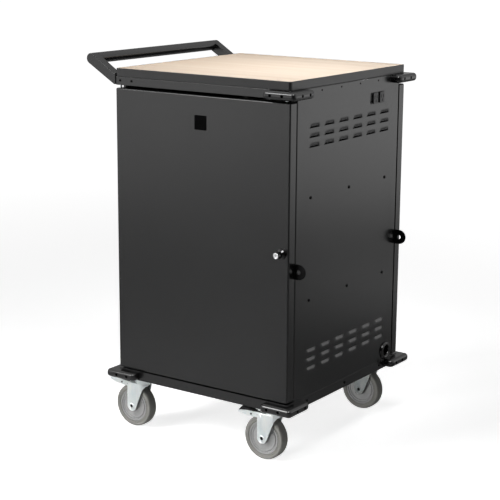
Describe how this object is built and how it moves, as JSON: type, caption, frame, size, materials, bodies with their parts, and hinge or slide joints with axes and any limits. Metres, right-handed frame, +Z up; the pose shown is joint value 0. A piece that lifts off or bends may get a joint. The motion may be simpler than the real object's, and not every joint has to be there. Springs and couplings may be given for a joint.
{
  "type": "laptop charging cart",
  "caption": "Lockable steel cabinet on swivel casters that stores and charges laptops, with a laminate worktop, push handle, hinged front and rear doors and corner bumpers.",
  "frame": {"origin": "on the floor, under the middle of the whole cart's box", "axes": "+Z up; the front door faces -Y; the push handle is at -X"},
  "size_m": [0.712, 0.642, 1.0708],
  "materials": {
    "powder_coat": "satin black fine-texture powder coat on steel sheet",
    "laminate": "pale maple laminate on board",
    "edge_band": "matt black edge band",
    "bumper_plastic": "satin black moulded bumper",
    "black_plastic": "glossy black moulding",
    "zinc": "bright zinc plating on pressed steel",
    "chrome": "polished chrome",
    "tyre_rubber": "warm grey non-marking tread",
    "hub_plastic": "light grey moulded wheel centre"
  },
  "bodies": {
    "cabinet": {"base_pan": "powder_coat", "right_side_panel": "powder_coat", "left_side_panel": "powder_coat", "top_pan": "powder_coat", "worktop_board": "laminate", "worktop_edge_band": "edge_band", "lower_shelf": "powder_coat", "upper_shelf": "powder_coat", "lower_divider_rack": "powder_coat", "middle_divider_rack": "powder_coat", "upper_divider_rack": "powder_coat", "lower_power_strip": "black_plastic", "middle_power_strip": "black_plastic", "upper_power_strip": "black_plastic", "side_outlet": "black_plastic", "cord_grommet": "black_plastic", "handle_front_arm": "powder_coat", "handle_rear_arm": "powder_coat", "handle_grip": "powder_coat", "front_right_base_bumper": "bumper_plastic", "rear_right_base_bumper": "bumper_plastic", "rear_left_base_bumper": "bumper_plastic", "front_left_base_bumper": "bumper_plastic", "front_right_top_bumper": "bumper_plastic", "rear_right_top_bumper": "bumper_plastic", "front_hinge_pin": "zinc", "rear_hinge_pin": "zinc", "front_cabinet_hasp": "black_plastic", "rear_cabinet_hasp": "black_plastic", "front_left_caster_plate": "zinc", "front_right_caster_plate": "zinc", "rear_left_caster_plate": "zinc", "rear_right_caster_plate": "zinc"},
    "front_door_body": {"front_door": "powder_coat", "front_door_hasp": "black_plastic", "front_lock_body": "black_plastic"},
    "rear_door_body": {"rear_door": "powder_coat", "rear_door_hasp": "black_plastic", "rear_lock_body": "black_plastic"},
    "front_lock": {"front_lock_plug": "chrome"},
    "rear_lock": {"rear_lock_plug": "chrome"},
    "front_left_swivel": {"front_left_caster_fork": "zinc", "front_left_caster_axle": "zinc"},
    "front_right_swivel": {"front_right_caster_fork": "zinc", "front_right_caster_axle": "zinc"},
    "rear_left_swivel": {"rear_left_caster_fork": "zinc", "rear_left_caster_axle": "zinc"},
    "rear_right_swivel": {"rear_right_caster_fork": "zinc", "rear_right_caster_axle": "zinc"},
    "front_left_wheel": {"front_left_wheel_hub": "hub_plastic", "front_left_wheel_tyre": "tyre_rubber"},
    "front_right_wheel": {"front_right_wheel_hub": "hub_plastic", "front_right_wheel_tyre": "tyre_rubber"},
    "rear_left_wheel": {"rear_left_wheel_hub": "hub_plastic", "rear_left_wheel_tyre": "tyre_rubber"},
    "rear_right_wheel": {"rear_right_wheel_hub": "hub_plastic", "rear_right_wheel_tyre": "tyre_rubber"},
    "front_left_pedal": {"front_left_brake_pedal": "zinc"},
    "front_right_pedal": {"front_right_brake_pedal": "zinc"}
  },
  "joints": [
    {"name": "front_door_hinge", "type": "hinge", "parent": "cabinet", "child": "front_door_body", "pos_m": [-0.244, -0.282, 0.581], "axis": [0, 0, -1], "range_deg": [0, 180]},
    {"name": "rear_door_hinge", "type": "hinge", "parent": "cabinet", "child": "rear_door_body", "pos_m": [-0.244, 0.282, 0.581], "axis": [0, 0, 1], "range_deg": [0, 180]},
    {"name": "front_lock_turn", "type": "hinge", "parent": "front_door_body", "child": "front_lock", "pos_m": [0.299, -0.296, 0.587], "axis": [0, 1, 0], "range_deg": [0, 90]},
    {"name": "rear_lock_turn", "type": "hinge", "parent": "rear_door_body", "child": "rear_lock", "pos_m": [0.299, 0.296, 0.587], "axis": [0, 1, 0], "range_deg": [0, 90]},
    {"name": "front_left_caster_swivel", "type": "hinge", "parent": "cabinet", "child": "front_left_swivel", "pos_m": [-0.1915, -0.258, 0.14], "axis": [0, 0, 1], "continuous": true},
    {"name": "front_right_caster_swivel", "type": "hinge", "parent": "cabinet", "child": "front_right_swivel", "pos_m": [0.2635, -0.258, 0.14], "axis": [0, 0, 1], "continuous": true},
    {"name": "rear_left_caster_swivel", "type": "hinge", "parent": "cabinet", "child": "rear_left_swivel", "pos_m": [-0.1915, 0.258, 0.14], "axis": [0, 0, 1], "continuous": true},
    {"name": "rear_right_caster_swivel", "type": "hinge", "parent": "cabinet", "child": "rear_right_swivel", "pos_m": [0.2635, 0.258, 0.14], "axis": [0, 0, 1], "continuous": true},
    {"name": "front_left_wheel_spin", "type": "hinge", "parent": "front_left_swivel", "child": "front_left_wheel", "pos_m": [-0.2215, -0.258, 0.0625], "axis": [0, 1, 0], "continuous": true},
    {"name": "front_right_wheel_spin", "type": "hinge", "parent": "front_right_swivel", "child": "front_right_wheel", "pos_m": [0.2335, -0.258, 0.0625], "axis": [0, 1, 0], "continuous": true},
    {"name": "rear_left_wheel_spin", "type": "hinge", "parent": "rear_left_swivel", "child": "rear_left_wheel", "pos_m": [-0.2215, 0.258, 0.0625], "axis": [0, 1, 0], "continuous": true},
    {"name": "rear_right_wheel_spin", "type": "hinge", "parent": "rear_right_swivel", "child": "rear_right_wheel", "pos_m": [0.2335, 0.258, 0.0625], "axis": [0, 1, 0], "continuous": true},
    {"name": "front_left_brake_press", "type": "hinge", "parent": "front_left_swivel", "child": "front_left_pedal", "pos_m": [-0.2315, -0.258, 0.1297], "axis": [0, -1, 0], "range_deg": [0, 12]},
    {"name": "front_right_brake_press", "type": "hinge", "parent": "front_right_swivel", "child": "front_right_pedal", "pos_m": [0.2235, -0.258, 0.1297], "axis": [0, -1, 0], "range_deg": [0, 12]}
  ]
}
